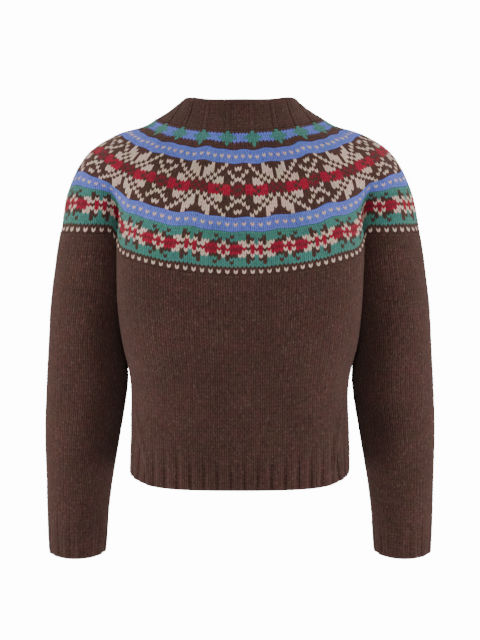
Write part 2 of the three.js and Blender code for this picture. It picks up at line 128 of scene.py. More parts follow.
# Half repeats, from the middle of a motif outwards. The other half mirrors them.
PEERIE = ["gbbb", "gguu", "gggu", "gguu", "gbbb", "bbbb"]
DOTS = ["uu", "uu", "uc", "uu", "uu"]
STAR_HALF = [
    "bbbcbbbcbbb",
    "bbccbbcbbbc",
    "bcccbcbbcbb",
    "bccbcbbbbcb",
    "bcbcbccbbbc",
    "cbcbcccbbcb",
    "bwbrrrbrrbw",
    "wbwrrbrrrwb",
]
STAR = STAR_HALF + [STAR_HALF[6]] + STAR_HALF[5::-1]
FLOWER_HALF = ["ggggggggg", "ggbgggbgg", "gbggggbbg", "cbbbccbcg", "rcrrrccrc", "wrwwwrbrw"]
FLOWER = FLOWER_HALF + FLOWER_HALF[4::-1]
LAST_ROWS = ["bb", "cb", "bb"]

# Bands of the yoke: first row, stitches all round, and for each chart in it: rows, repeat, stitch of the motif's middle
BANDS = [
    (0, 147, [(PEERIE, 7, 3)]),
    (6, 184, [(DOTS, 2, 1)]),
    (11, 210, [(STAR, 21, 9)]),
    (26, 216, [(DOTS, 2, 1)]),
    (31, 240, [(FLOWER, 16, 11), (LAST_ROWS, 2, 0)]),
]

NECK_SPREAD = 0.06  # how much wider the neck's stitches are behind and in front than at the shoulders
NECK_TOP_SPREAD = 0.3  # and how much more so at the neckband's top edge
YOKE_LEAN = 0.0021  # how far the yoke's columns lean to the right below the neck, as a share of the way round
LEAN_ROWS = 11  # the rows over which they come to lean
ROW_WANDER = 0.18  # how far the yoke's rows wander up and down, in rows
WANDER_FULL = (6, 38)  # the rows between which they wander fully
WANDER_WAVES = [(7, 0.1), (13, 0.37), (19, 0.8), (31, 0.55)]  # waves round the yoke, and where each starts

PER_STITCH = 4  # columns of faces in a stitch
PER_ROW = 2  # rows of faces in a row of knitting
LEG = np.array([0.0, 1.0, 0.32, 1.0])  # how a stitch stands out across its two legs
CHEVRON = 0.7  # how deep the V of a stitch is, in rows
END_GAP = 0.02  # how far a band's end rows are drawn back from its edge, in rows
LEG_END = 0.66  # how far a leg stands out at its two ends, as a share of its middle
PURL_RELIEF = 0.45  # how far a purled stitch stands out, as a share of a knitted one
STITCH_UNEVEN = 0.16  # how much one stitch stands out more than the next
SUNK_ROW = 0.2  # how far the row between two bands stands out, as a share of a stitch
# Painted shade inside the cloth: its plain inside takes its row's mean yarn colour darkened by this factor
INSIDE_SHADE = 0.8
WELD = 2e-6

NECKBAND_ROWS = 11
BACK_ROWS = 44
FRONT_ROWS = 40
SLEEVE_ROWS = 77
RIB_ROWS = 17
LINING_ROWS = 13

OUTLINE_STEPS = 721
RING_STEPS = 1440
FOLD_LEVELS = 80
HALVINGS = 40  # how often the search for a fold halves its way

# The cloth's long soft waves: how many, how tight along each axis, and what scales their sum
WAVES = 7
WAVE_TIGHTNESS = np.array([18.0, 18.0, 26.0])
WAVE_SUM = 2.6
WAVE_SEED = 5

# The stage
FLOOR_HALF = 12.0
FLOOR_PLACE = (0, -4.0, -2.0)
BACKDROP_HEIGHT = 6
BACKDROP_BEND = 2.5
NEARLY = 0.1  # how near an edge of the floor a point counts as being on it
GLOW = 12.0  # how strongly the backdrop shines where the camera sees it
WORLD_LIGHT = 0.60
LAMP_AIM = (0, 0, -0.28)
LAMPS = [  # name, place, size, watts
    ("side_left", (-1.3, -0.55, -0.50), (0.5, 1.8), 28),
    ("side_right", (1.3, -0.55, -0.50), (0.5, 1.8), 28),
    ("above", (0, -0.4, 1.8), (1.6, 0.8), 32),
    ("behind", (0, -3.2, 0.5), (1.2, 1.2), 28),
]

# The camera, behind the jumper and a little above its middle
PHOTO_WIDTH = 480
FOCAL_PIXELS = 2069
SENSOR_WIDTH = 36
CAMERA_AIM = (0, 0, -0.2828)
CAMERA_DISTANCE = 3.0
CAMERA_RISE = 5.5  # degrees


def read(table, level):
    """The columns of a table at levels between its rows, carried smoothly from row to row."""
    levels = table[:, 0]
    way = 1 if levels[-1] > levels[0] else -1
    level = np.asarray(level, float)
    i = np.clip(np.searchsorted(way * levels, way * level, side="right") - 1, 0, len(levels) - 2)
    before = np.maximum(i - 1, 0)
    after = np.minimum(i + 2, len(levels) - 1)
    span = levels[i + 1] - levels[i]
    t = np.clip((level - levels[i]) / span, 0, 1)[..., None]
    leaving = (table[i + 1] - table[before]) / (levels[i + 1] - levels[before])[..., None]
    arriving = (table[after] - table[i]) / (levels[after] - levels[i])[..., None]
    span = span[..., None]
    found = (2 * t**3 - 3 * t**2 + 1) * table[i] + (t**3 - 2 * t**2 + t) * span * leaving
    found = found + (3 * t**2 - 2 * t**3) * table[i + 1] + (t**3 - t**2) * span * arriving
    return np.moveaxis(found, -1, 0)


def smooth(value, low, high):
    t = np.clip((value - low) / (high - low), 0, 1)
    return t * t * (3 - 2 * t)


def body_point(angle, z):
    """A point of the body's outline: angle 0 is the right side, -pi/2 the middle of the back."""
    _, half, back, front, square = read(BODY, z)
    c, v = np.cos(angle), np.sin(angle)
    depth = np.where(v < 0, back, front)
    x = half * np.sign(c) * np.abs(c) ** (2 / square)
    y = depth * np.sign(v) * np.abs(v) ** (2 / square)
    return np.stack(np.broadcast_arrays(x, y, z), -1)


def sleeve_point(angle, z):
    """A point of the right sleeve's outline: angle 0 is its outer side, -pi/2 its back."""
    _, x, y, half, depth, drop = read(SLEEVE, z)
    from_middle = depth * np.sin(angle)
    return np.stack(np.broadcast_arrays(x + half * np.cos(angle), y + from_middle, z + drop * from_middle), -1)


def seam_angle(z):
    """The body angle of the right side seam."""
    _, _, _, front, square = read(BODY, z)
    return np.arcsin((SIDE_SEAM / front) ** (square / 2))


def evenly(outline, start, end, shares):
    """Angles at the given shares of the way along an outline. Start, end and outline have one row for each ring."""
    angles = start[:, None] + (end - start)[:, None] * np.linspace(0, 1, OUTLINE_STEPS)
    steps = np.linalg.norm(np.diff(outline(angles), axis=1), axis=2)
    walked = np.concatenate([np.zeros((len(start), 1)), np.cumsum(steps, axis=1)], axis=1)
    return np.stack([np.interp(shares * way[-1], way, a) for way, a in zip(walked, angles)])


def folds():
    """Where the body runs into the right sleeve, behind and in front: height, body angle, sleeve angle."""
    found = {}
    z = np.linspace(BODY[0, 0], UNDERARM, FOLD_LEVELS)
    _, x, y, half, depth, _ = read(SLEEVE, z)
    for side in (-1, 1):
        outside = np.full(len(z), side * np.pi / 2)
        inside = seam_angle(z)
        for _ in range(HALVINGS):
            middle = (outside + inside) / 2
            p = body_point(middle, z)
            within = ((p[:, 0] - x) / half) ** 2 + ((p[:, 1] - y) / depth) ** 2 < 1
            inside = np.where(within, middle, inside)
            outside = np.where(within, outside, middle)
        at = body_point(inside, z)
        sleeve = np.arctan2((at[:, 1] - y) / depth, (at[:, 0] - x) / half)
        found[side] = (z[::-1], inside[::-1], np.where(sleeve < 0, sleeve + 2 * np.pi, sleeve)[::-1])
    return found


FOLDS = folds()


def fold_height(side):
    return sum(EDGE[side])


def body_fold(side, z):
    return np.interp(z, FOLDS[side][0], FOLDS[side][1])


def sleeve_fold(side, z):
    return np.interp(z, FOLDS[side][0], FOLDS[side][2])


def edge_height(side, x, fold_x):
    """The height of the yoke's lower edge on a panel."""
    middle, rise, fold_rise = EDGE[side]
    share = np.clip(np.abs(x) / fold_x, 0, 1)
    return middle + rise * share**2 + fold_rise * share**FOLD_RISE_POWER


def sleeve_edge_height(points):
    """The height of the yoke's lower edge on a sleeve, from its level points between the two folds."""
    height = np.full(len(points), EDGE_ON_SLEEVE)
    for side, end in ((-1, points[0]), (1, points[-1])):
        near = np.exp(-((np.linalg.norm(points - end, axis=1) / FOLD_REACH) ** 2))
        height = height + (fold_height(side) - EDGE_ON_SLEEVE) * near
    return height


def mirrored(points):
    return points * np.array([-1.0, 1.0, 1.0])


def yoke_edge():
    """The yoke's lower edge as a fine ring, from the middle of the back round by the right arm."""
    part = RING_STEPS // 6
    one = np.ones(1)
    panels = {}
    for side in (-1, 1):
        level = fold_height(side)
        end = body_fold(side, level)
        shares = np.linspace(0, 1, part + 1)
        a = evenly(lambda t: body_point(t, level), side * np.pi / 2 * one, end * one, shares)[0]
        p = body_point(a, level)
        panels[side] = body_point(a, edge_height(side, p[:, 0], p[-1, 0]))
    ends = [sleeve_fold(-1, fold_height(-1)) - 2 * np.pi, sleeve_fold(1, fold_height(1))]
    shares = np.linspace(0, 1, part + 1)
    a = evenly(lambda t: sleeve_point(t, EDGE_ON_SLEEVE), ends[0] * one, ends[1] * one, shares)[0]
    flat = sleeve_point(a, EDGE_ON_SLEEVE)
    arm = sleeve_point(a, sleeve_edge_height(flat))
    arm[0], arm[-1] = panels[-1][-1], panels[1][-1]
    right = np.concatenate([panels[-1][:-1], arm[:-1], panels[1][::-1]])
    return np.concatenate([right[:-1], mirrored(right[::-1])[:-1]])


def oval(rings, arch=0.0):
    """Rings of the yoke or the neckband as fine ovals, from the middle of the back round by the right arm."""
    half, shoulder, back, back_height, front, front_height = (np.atleast_1d(v)[:, None] for v in rings)

    def outline(angle):
        v = np.sin(angle)
        middle = np.where(v < 0, back_height, front_height)
        arched = np.where(v < 0, arch * np.sin(np.pi * v) ** 2, 0.0)
        z = shoulder + (middle - shoulder) * np.abs(v) ** DIP_POWER + arched
        return np.stack([half * np.cos(angle), np.where(v < 0, back, front) * v, z], -1)

    start = np.full(len(half), -np.pi / 2)
    shares = np.arange(RING_STEPS) / RING_STEPS
    return outline(evenly(outline, start, start + 2 * np.pi, shares))


YOKE_EDGE = yoke_edge()
LOWEST_OVAL = oval(read(YOKE, [1.0])[1:])[0]


def along(ring, shares, spread=0.0, lean=0.0):
    """Points at even steps along closed rings, from a share lean on. A spread widens them behind and in front."""
    closed = np.concatenate([ring, ring[:, :1]], axis=1)
    steps = np.linalg.norm(np.diff(closed, axis=1), axis=2)
    walked = np.concatenate([np.zeros((len(ring), 1)), np.cumsum(steps, axis=1)], axis=1)
    rows = []
    spread, lean = (np.broadcast_to(value, len(ring)) for value in (spread, lean))
    for way, points, widened, leant in zip(walked, closed, spread, lean):
        turned = shares + leant
        goal = (turned + widened / (4 * np.pi) * np.sin(4 * np.pi * turned)) * way[-1]
        rows.append(np.stack([np.interp(goal, way, points[:, k], period=way[-1]) for k in range(3)], -1))
    return np.stack(rows)


def yoke_sheet(shares, rows):
    down = np.interp(rows, YOKE_ROWS[:, 0], YOKE_ROWS[:, 1])
    ring = oval(read(YOKE, down)[1:])
    ring = ring + smooth(down, FOLD_START, FOLD_END)[:, None, None] * (YOKE_EDGE - LOWEST_OVAL)
    table = along(ring, shares, NECK_SPREAD * (1 - down) ** 2, YOKE_LEAN * smooth(rows, 0, LEAN_ROWS))
    wander = sum(np.sin(2 * np.pi * (waves * shares + start)) for waves, start in WANDER_WAVES)
    within = smooth(rows, 0, WANDER_FULL[0]) * (1 - smooth(rows, WANDER_FULL[1], YOKE_ROWS[-1, 0]))
    return table + np.gradient(table, rows, axis=0) * (ROW_WANDER * within[:, None] * wander)[..., None]


def neckband_sheet(shares, rows, count):
    down = (rows / count)[:, None, None]
    top, foot = oval(NECK_TOP, NECK_ARCH), oval(read(YOKE, [0.0])[1:])
    ring = top + (foot - top) * down
    level = ring * np.array([1.0, 1.0, 0.0])
    hollow = NECK_HOLLOW * np.sin(np.pi * down)
    ring = ring - level / np.linalg.norm(level, axis=2, keepdims=True) * hollow
    return along(ring, shares, NECK_SPREAD + NECK_TOP_SPREAD * (1 - rows / count))


def panel_sheet(side, shares, rows, count):
    """The back (side -1) or the front (side 1), from one side seam to the other, and where it is cut off."""
    down = rows / count
    top_end = fold_height(side)
    levels = top_end + (HEM_RIB_TOP - top_end) * down
    middle = np.full(len(rows), side * np.pi / 2)
    along_half = np.abs(shares)
    angle = evenly(lambda a: body_point(a, levels[:, None]), middle, seam_angle(levels), along_half)
    fold_x = body_point(body_fold(side, top_end), top_end)[0]
    first = evenly(lambda a: body_point(a, top_end), middle[:1], seam_angle(np.array([top_end])), along_half)[0]
    top = edge_height(side, body_point(first, top_end)[:, 0], fold_x)
    z = top[None, :] + (HEM_RIB_TOP - top[None, :]) * down[:, None]
    limit = np.where(levels[:, None] > UNDERARM, body_fold(side, z), seam_angle(z))
    cut = (angle - limit) * -side > 1e-6
    p = body_point(np.where(cut, limit, angle), z)
    p[..., 0] *= np.where(shares < 0, -1, 1) * (1 if side < 0 else -1)
    return p, cut


def hem_sheet(side, shares, rows, count):
    levels = HEM_RIB_TOP + (HEM - HEM_RIB_TOP) * rows / count
    middle = np.full(len(rows), side * np.pi / 2)
    angle = evenly(lambda a: body_point(a, levels[:, None]), middle, seam_angle(levels), np.abs(shares))
    across = np.abs(body_point(angle, levels[:, None])[..., 0])
    lift = HEM_LIFT * (across / across.max()) ** HEM_LIFT_POWER
    p = body_point(angle, levels[:, None] + lift * (rows / count)[:, None])
    p[..., 0] *= np.where(shares < 0, -1, 1) * (1 if side < 0 else -1)
    return p, np.zeros(angle.shape, bool)


def sleeve_sheet(shares, rows, count):
    """The right sleeve, from the yoke's edge to the cuff, and where the armhole folds cut it off."""
    down = rows / count
    levels = EDGE_ON_SLEEVE + (CUFF_TOP - EDGE_ON_SLEEVE) * down
    start = np.full(len(rows), -np.pi)
    angle = evenly(lambda a: sleeve_point(a, levels[:, None]), start, start + 2 * np.pi, shares)
    flat = sleeve_point(angle[0], EDGE_ON_SLEEVE)
    from_folds = [sleeve_fold(-1, fold_height(-1)) - 2 * np.pi, sleeve_fold(1, fold_height(1))]
    ends = sleeve_point(np.array(from_folds), EDGE_ON_SLEEVE)
    outer = (angle[0] > from_folds[0]) & (angle[0] < from_folds[1])
    drop = sleeve_edge_height(np.concatenate([ends[:1], flat, ends[1:]]))[1:-1] - EDGE_ON_SLEEVE
    past_front = np.mod(angle[0] - from_folds[1], 2 * np.pi) / (from_folds[0] + 2 * np.pi - from_folds[1])
    inner_drop = fold_height(1) + (fold_height(-1) - fold_height(1)) * past_front - EDGE_ON_SLEEVE
    drop = np.where(outer, drop, inner_drop)
    z = levels[:, None] + drop[None, :] * (1 - smooth(down, 0, 0.5))[:, None]
    above = (levels + 0.3 * (fold_height(1) - EDGE_ON_SLEEVE) > UNDERARM)[:, None]
    low = np.where(above, sleeve_fold(-1, z) - 2 * np.pi, -np.pi)
    high = np.where(above, sleeve_fold(1, z), np.pi)
    cut = (angle < low - 1e-6) | (angle > high + 1e-6)
    return sleeve_point(np.clip(angle, low, high), z), cut


def cuff_sheet(shares, rows, count):
    levels = CUFF_TOP + (CUFF_END - CUFF_TOP) * rows / count
    start = np.full(len(rows), -np.pi)
    angle = evenly(lambda a: sleeve_point(a, levels[:, None]), start, start + 2 * np.pi, shares)
    return sleeve_point(angle, levels[:, None]), np.zeros(angle.shape, bool)


def facing(points, closed):
    """The way a sheet faces at each point, from its neighbours across and down."""
    if closed:
        across = np.roll(points[:, :-1], -1, axis=1) - np.roll(points[:, :-1], 1, axis=1)
        across = np.concatenate([across, across[:, :1]], axis=1)
    else:
        across = np.gradient(points, axis=1)
    down = np.gradient(points, axis=0)
    normal = np.cross(down, across)
    return normal / np.maximum(np.linalg.norm(normal, axis=2, keepdims=True), 1e-12)


def colours_of(context):
    yarns = context.scene.jumper_yarns
    return {letter: np.array(getattr(yarns, name)) for letter, name in YARNS.items()}


def chart_letters(charts, stitches):
    """The yarn of every stitch in a band, row by row."""
    rows = []
    for chart, repeat, middle in charts:
        from_middle = (np.arange(stitches) - middle) % repeat
        half = np.minimum(from_middle, repeat - from_middle)
        rows += [[row[k] for k in half] for row in chart]
    return rows


def plain_letters(rows, stitches):
    return [["b"] * stitches] * rows


def knit_ribs(period, rib, rise, sink, reach, purls):
    """How high a ribbed cloth stands across its period, and which of its columns are knitted.

    The columns of the rib stand out by rise. The cloth beside them sinks, and rises again within its reach.
    """
    def shape(x):
        phase = np.mod(x, period)
        inside = (phase >= rib[0]) & (phase <= rib[1])
        crown = np.sin(np.pi * np.clip((phase - rib[0]) / (rib[1] - rib[0]), 0, 1)) ** 0.6
        beside = np.abs(np.mod(phase - sum(rib) / 2 + period / 2, period) - period / 2) - (rib[1] - rib[0]) / 2
        furrow = np.exp(-((beside / reach) ** 2))
        return np.where(inside, crown * rise, -furrow * sink), inside | (not purls)
    return shape


def stitch_relief(x, y, rows, sizes, ribs, grown, straight, rng):
    """How far each point stands out of the sheet, and how far down it is drawn to make the V of a stitch."""
    across = np.mod(x, 1.0)
    leg = LEG[np.round(across * PER_STITCH).astype(int) % PER_STITCH]
    between = np.mod(y, 1.0)
    along_leg = np.where(np.abs(between - 0.5) < 0.25, 1.0, LEG_END)
    wide = int(np.ceil(x.max())) + 1
    uneven = 1 + STITCH_UNEVEN * rng.standard_normal((rows + 2, wide))
    each = uneven[np.clip(np.floor(y).astype(int), 0, rows + 1)[:, None], np.floor(x).astype(int)[None, :]]
    v = sizes.stitch_relief * leg[None, :] * along_leg[:, None] * each
    ends = np.clip(np.minimum(y if straight[0] else 1, rows - y if straight[1] else 1), 0, 1) * np.ones(len(y))
    drawn = CHEVRON * (0.5 - 2 * np.abs(across - 0.5))
    drawn = ends[:, None] * drawn[None, :]
    if ribs is None:
        return v, drawn
    rise, knit = ribs(x)
    ribbed = smooth(y, *grown)[:, None]
    purl = sizes.stitch_relief * PURL_RELIEF * along_leg[:, None] * ribbed + v * (1 - ribbed)
    relief = np.where(knit, v, purl) + rise * ribbed
    return relief, drawn * np.where(knit, 1, 1 - ribbed)


def wandering(points, amount, seed):
    """Soft unevenness of a knitted surface: a few long waves in a fixed random pattern."""
    rng = np.random.default_rng(seed)
    total = np.zeros(points.shape[:-1])
    for _ in range(WAVES):
        wave = rng.normal(size=3) * WAVE_TIGHTNESS
        total += np.sin(points @ wave + rng.uniform(0, 2 * np.pi))
    return amount * total / WAVE_SUM


def turned_ends(table, cut, face, wall):
    """Where a sheet's side edges turn in, row by row: the columns they are at, and their places inside the wall."""
    wide = table.shape[1]
    left = np.argmin(cut, axis=1) - 1
    right = wide - np.argmin(cut[:, ::-1], axis=1)
    rows = np.arange(len(table))
    places = []
    for column in (left, right):
        at = np.clip(column, 0, wide - 1)
        places.append(table[rows, at] - face[rows, at] * wall)
    return left, right, places


def wall_rows(left, count):
    """The rows that the plain inside is made of: even steps, and both sides of any jump in the side edge."""
    rows = set(np.round(np.linspace(0, len(left) - 1, count + 1)).astype(int))
    for jump in np.nonzero(np.abs(np.diff(left)) > 2)[0]:
        rows |= {jump, jump + 1}
    return np.array(sorted(rows))


def knit_band(bm, sheet, first_row, rows, stitches, letters, sizes, colours, wall, seed, closed=True,
              inner_rows=0, ribs=None, grown=(-1, 0), straight=(True, True), free=(False, False), extra=None,
              arm=1, above=None):
    """Adds a band of knitting to bm: the stitches outside and, where it has inner rows, the plain wall inside.

    A band without inner rows starts at the ring of points above it and ends in a shallow sunk row, which is
    returned for the next band to start from.
    """
    rng = np.random.default_rng(seed)
    x = np.arange(stitches * PER_STITCH + 1) / PER_STITCH
    if not closed:
        x = np.concatenate([[x[0]], x, [x[-1]]])
    shares = x / stitches if closed else 2 * x / stitches - 1
    y = np.arange(rows * PER_ROW + 1) / PER_ROW
    table, cut = sheet(shares, y + first_row)
    if not closed:
        cut[:, [0, 1, -2, -1]] = True
    face = facing(table, closed)
    soft = wandering(table, sizes.unevenness, WAVE_SEED) + (0.0 if extra is None else extra(table))
    table = table + face * np.where(cut, 0.0, soft)[..., None]
    left, right, places = turned_ends(table, cut, face, wall)
    columns = np.arange(len(x))[None, :]
    beyond = (columns < left[:, None]) | (columns > right[:, None])
    relief, drawn = stitch_relief(x, y, rows, sizes, ribs, grown, straight, rng)
    i = y[:, None] * PER_ROW + np.where(cut, 0.0, drawn) * PER_ROW
    i[0] += END_GAP * PER_ROW
    i[-1] -= END_GAP * PER_ROW
    i0 = np.clip(i.astype(int), 0, len(y) - 2)
    t = (i - i0)[..., None]
    outer = table[i0, columns] * (1 - t) + table[i0 + 1, columns] * t
    outer = outer + face * np.where(cut, 0.0, relief)[..., None]
    picks = wall_rows(left, inner_rows) if inner_rows else np.array([0, len(y) - 1])
    turned = picks[left[picks] >= 0]
    if len(turned):
        nearest = turned[np.abs(np.arange(len(y))[:, None] - turned[None, :]).argmin(axis=1)]
    grid = []

    def add(points, at, inner):
        points = points.copy()
        if len(turned):
            spare = 0 if inner else 1
            for place, mask in ((places[0], columns < left[at][:, None] + 1 - spare),
                                (places[1], columns > right[at][:, None] - 1 + spare)):
                points = np.where(mask[..., None], place[nearest[at]][:, None], points)
        grid.append((points, y[at], np.full(len(at), inner), beyond[at]))

    first, last = np.array([0]), np.array([len(y) - 1])
    if above is not None:
        count = len(above)
        add(above[np.round(shares * (count - 1)).astype(int)][None], first, False)
    add(outer, np.arange(len(y)), False)
    if inner_rows:
        add(rim(table, face, -1, wall, free[1])[None], last, True)
        inside = table[picks] - face[picks] * wall
        add(inside[::-1], picks[::-1], True)
        add(rim(table, face, 0, wall, free[0])[None], first, True)
        add(outer[:1], first, False)
    else:
        add(table[-1:] + face[-1:] * sizes.stitch_relief * SUNK_ROW, last, False)
    points, row_y, is_inner, gone = (np.concatenate(part) for part in zip(*grid))
    if arm < 0:
        points, gone = mirrored(points)[:, ::-1], gone[:, ::-1]
    lay_grid(bm, points, x, row_y, is_inner, gone, letters, colours)
    return points[-1]


def side_fold(points):
    """The fold down each side of the body: a soft ridge that slants in to the hem, and a hollow outside it."""
    x, z = np.abs(points[..., 0]), points[..., 2]
    out = x - np.interp(-z, SIDE_FOLD[:, 0], SIDE_FOLD[:, 1])
    ridge = RIDGE_HEIGHT * np.exp(-((out / RIDGE_WIDTH) ** 2))
    hollow = HOLLOW_DEPTH * np.exp(-(((out - HOLLOW_OUT) / HOLLOW_WIDTH) ** 2))
    within = smooth(read(BODY, z)[1] - x, 0, FOLD_TO_SIDE)
    return (ridge - hollow) * within * smooth(-z, *FOLD_GROWS) * (1 - FOLD_FADE * smooth(-z, *FOLD_FADES))


def rim(table, face, row, wall, free):
    """The row of points in the middle of a wall's edge, standing out a little where the edge is free."""
    middle = table[row] - face[row] * wall * 0.5
    if free:
        outwards = table[row] - table[row + 1 if row == 0 else row - 1]
        outwards = outwards / np.maximum(np.linalg.norm(outwards, axis=1, keepdims=True), 1e-9)
        middle = middle + outwards * wall * 0.35
    return middle


def lay_grid(bm, points, x, y, is_inner, gone, letters, colours):
    """Shapes a flat grid into the given points and gives its faces the yarns of their stitches."""
    tall, wide = points.shape[:2]
    band = bmesh.new()
    bmesh.ops.create_grid(band, x_segments=wide - 1, y_segments=tall - 1, size=1.0)
    mesh = bpy.data.meshes.new("band")
    band.to_mesh(mesh)
    band.free()
    mesh.vertices.foreach_set("co", points.reshape(-1).astype(np.float32))
    corners = np.empty(len(mesh.loops), np.int32)
    mesh.loops.foreach_get("vertex_index", corners)
    uv = mesh.uv_layers.new(name="stitches")
    uv.data.foreach_set("uv", np.stack([x[corners % wide], -y[corners // wide]], -1).reshape(-1).astype(np.float32))
    first = corners.reshape(-1, 4).min(axis=1)
    row, column = first // wide, first % wide
    rows, stitches = len(letters), len(letters[0])
    mid_y = np.clip(((y[row] + y[row + 1]) / 2).astype(int), 0, rows - 1)
    mid_x = np.clip(((x[column] + x[column + 1]) / 2).astype(int), 0, stitches - 1)
    chart = np.array([[colours[k] for k in line] for line in letters])
    inner = is_inner[row] | is_inner[row + 1]
    # Inside faces get their row's mean yarn colour, darkened as painted shade
    face_colour = np.where(inner[:, None], chart.mean(axis=1)[mid_y] * INSIDE_SHADE, chart[mid_y, mid_x])
    paint = np.concatenate([face_colour, np.ones((len(face_colour), 1))], axis=1)
    layer = mesh.color_attributes.new("yarn", "FLOAT_COLOR", "CORNER")
    layer.data.foreach_set("color", np.repeat(paint, 4, axis=0).reshape(-1).astype(np.float32))
    away = gone[row, column] & gone[row + 1, column] & gone[row, column + 1] & gone[row + 1, column + 1]
    marks = mesh.attributes.new("away", "BOOLEAN", "FACE")
    marks.data.foreach_set("value", away)
    bm.from_mesh(mesh)
    bpy.data.meshes.remove(mesh)


def finish_piece(bm, name, material, nodes):
    """Closes the knitted bands into one piece and hands it to the frame."""
    marks = bm.faces.layers.bool.get("away")
    bmesh.ops.delete(bm, geom=[f for f in bm.faces if f[marks]], context="FACES")
    bm.faces.layers.bool.remove(marks)
    bmesh.ops.remove_doubles(bm, verts=bm.verts[:], dist=WELD)
    bmesh.ops.dissolve_degenerate(bm, edges=bm.edges[:], dist=WELD)
    bmesh.ops.holes_fill(bm, edges=[e for e in bm.edges if e.is_boundary], sides=12)
    bmesh.ops.recalc_face_normals(bm, faces=bm.faces[:])
    mesh = bpy.data.meshes.new(name)
    bm.to_mesh(mesh)
    bm.free()
    mesh.shade_smooth()
    piece = bpy.data.objects.new(name, mesh)
    bpy.context.scene.collection.objects.link(piece)
    mesh.materials.append(material)
    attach(piece, "root")
    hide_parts(*nodes)


def wool(name, heather):
    """Woollen yarn in the colours of the stitches: heathered, plied, with painted shade between stitches, between the
    legs of a V and at row edges, and slightly fuzzy.
    """
    material = bpy.data.materials.new(name)
    material.use_nodes = True
    nodes, links = material.node_tree.nodes, material.node_tree.links
    shader = nodes["Principled BSDF"]
    shader.inputs["Roughness"].default_value = 0.95
    shader.inputs["Specular IOR Level"].default_value = 0.12
    shader.inputs["Sheen Weight"].default_value = 0.12
    shader.inputs["Sheen Roughness"].default_value = 0.5
    shader.inputs["Sheen Tint"].default_value = (0.75, 0.55, 0.48, 1)
    yarn = nodes.new("ShaderNodeAttribute")
    yarn.attribute_name = "yarn"
    place = nodes.new("ShaderNodeTexCoord")

    def noise(scale, detail, stretch=(1, 1, 1), shift=0.0):
        mapping = nodes.new("ShaderNodeMapping")
        mapping.inputs["Scale"].default_value = stretch
        mapping.inputs["Location"].default_value = (shift, shift, shift)
        links.new(place.outputs["Object"], mapping.inputs["Vector"])
        texture = nodes.new("ShaderNodeTexNoise")
        texture.inputs["Scale"].default_value = scale
        texture.inputs["Detail"].default_value = detail
        links.new(mapping.outputs["Vector"], texture.inputs["Vector"])
        return texture.outputs["Fac"]

    def ramp(value, low, high, first, last):
        node = nodes.new("ShaderNodeMapRange")
        for key, number in (("From Min", low), ("From Max", high), ("To Min", first), ("To Max", last)):
            node.inputs[key].default_value = number
        links.new(value, node.inputs["Value"])
        return node.outputs["Result"]

    def tinted(factor, base, tint, blend="MULTIPLY"):
        node = nodes.new("ShaderNodeMix")
        node.data_type = "RGBA"
        node.blend_type = blend
        links.new(factor, node.inputs["Factor"])
        links.new(base, node.inputs["A"])
        node.inputs["B"].default_value = (*tint, 1)
        return node.outputs["Result"]

    def sum_of(kind, *values):
        node = nodes.new("ShaderNodeMath")
        node.operation = kind
        for value, socket in zip(values, node.inputs):
            if isinstance(value, (int, float)):
                socket.default_value = value
            else:
                links.new(value, socket)
        return node.outputs["Value"]

    colour = yarn.outputs["Color"]
    flecks = (
        (noise(60, 2), 0.42, 0.62, 0.9, (1.10, 0.92, 0.97), "MULTIPLY"),
        (noise(50, 2, shift=3.0), 0.46, 0.64, 0.9, (0.93, 1.03, 0.86), "MULTIPLY"),
        (noise(300, 2, (1.0, 1.0, 0.6), 5.0), 0.48, 0.66, 0.6, (0.50, 0.50, 0.53), "MULTIPLY"),
        (noise(420, 1, (1.0, 1.0, 0.5), 7.0), 0.55, 0.72, 0.6, (0.043, 0.031, 0.027), "ADD"),
    )
    for value, low, high, strength, tint, blend in flecks:
        colour = tinted(ramp(value, low, high, 0.0, strength * heather), colour, tint, blend)

    stitches = nodes.new("ShaderNodeUVMap")
    stitches.uv_map = "stitches"
    split = nodes.new("ShaderNodeSeparateXYZ")
    links.new(stitches.outputs["UV"], split.inputs["Vector"])
    across = sum_of("ABSOLUTE", sum_of("SUBTRACT", sum_of("FRACT", split.outputs["X"]), 0.5))
    down = sum_of("ABSOLUTE", sum_of("SUBTRACT", sum_of("FRACT", split.outputs["Y"]), 0.5))
    # Painted shade: the colour is darkened between stitches, between the two legs of each V and at the edges of each
    # row, where the crevices of the knit lie in shade
    between = ramp(across, 0.35, 0.5, 0.0, 0.75)
    inside = ramp(across, 0.0, 0.15, 0.65, 0.0)
    rows = ramp(down, 0.30, 0.5, 0.0, 0.45)
    for shadow in (between, inside, rows):
        colour = tinted(shadow, colour, (0.30, 0.26, 0.26))
    cloudy = ramp(noise(16, 3), 0.3, 0.7, 0.88, 1.12)
    shade = nodes.new("ShaderNodeVectorMath")
    shade.operation = "SCALE"
    links.new(colour, shade.inputs[0])
    links.new(cloudy, shade.inputs["Scale"])
    links.new(shade.outputs["Vector"], shader.inputs["Base Color"])

    plies = sum_of("ADD", sum_of("MULTIPLY", across, 9.0), sum_of("MULTIPLY", split.outputs["Y"], 22.0))
    twist = sum_of("MULTIPLY", sum_of("SINE", plies), 0.5)
    height = sum_of("ADD", twist, noise(1300, 3))
    bump = nodes.new("ShaderNodeBump")
    bump.inputs["Strength"].default_value = 0.6
    bump.inputs["Distance"].default_value = 0.0006
    links.new(height, bump.inputs["Height"])
    links.new(bump.outputs["Normal"], shader.inputs["Normal"])
    return material


def wool_named(name, heather=1.0):
    return bpy.data.materials.get(name) or wool(name, heather)


